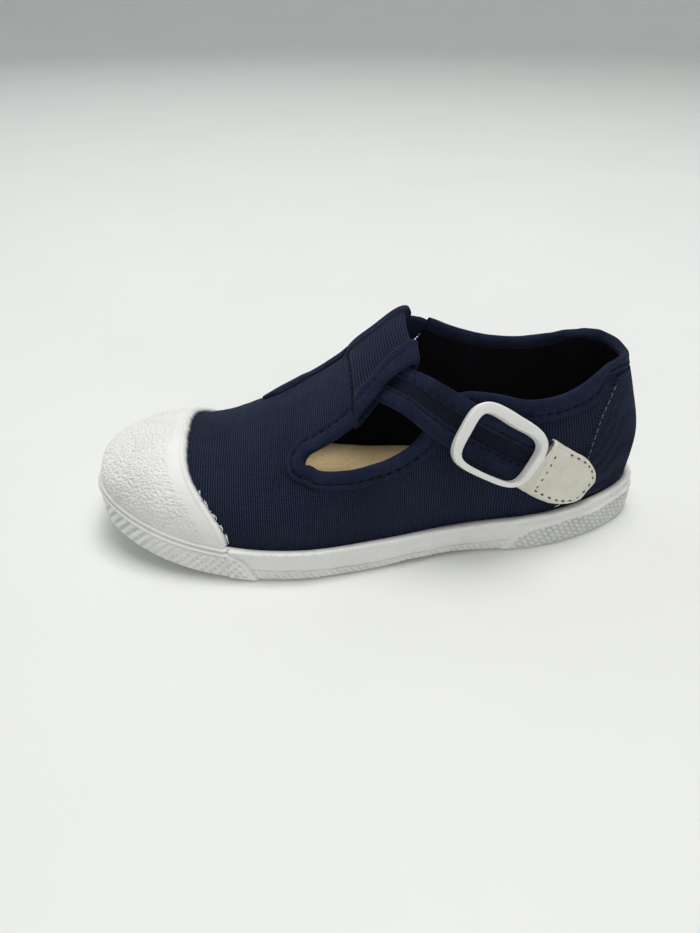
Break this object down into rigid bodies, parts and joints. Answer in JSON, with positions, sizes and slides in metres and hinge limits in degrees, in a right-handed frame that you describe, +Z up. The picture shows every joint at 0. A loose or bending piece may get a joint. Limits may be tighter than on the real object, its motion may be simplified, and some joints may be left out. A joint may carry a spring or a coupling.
{
  "type": "t-strap shoe",
  "caption": "Child's canvas T-strap shoe, left foot: rubber toe cap and cupped rubber sole, open sides, a side strap through a throat-bar loop and a plastic frame buckle.",
  "frame": {"origin": "on the floor under the middle of the shoe's box", "axes": "+X from the toe to the heel, +Y to the medial side (the buckle faces -Y), +Z up"},
  "size_m": [0.172, 0.0724, 0.0667],
  "materials": {
    "sole_rubber": "matte white vulcanised rubber, pebbled on the toe",
    "canvas": "navy ribbed cotton canvas",
    "tape": "navy woven cotton tape",
    "insole_board": "tan unfinished leatherboard",
    "buckle_plastic": "satin white moulded plastic",
    "tab_leather": "off-white coated leather"
  },
  "bodies": {
    "root": {"sole": "sole_rubber", "upper": "canvas", "insole": "insole_board", "toe_cap": "sole_rubber", "heel_panel": "canvas", "collar_binding": "tape", "cutout_binding": "tape", "bar_loop": "canvas", "strap": "tape", "buckle": "buckle_plastic", "buckle_tab": "tab_leather"}
  },
  "joints": []
}
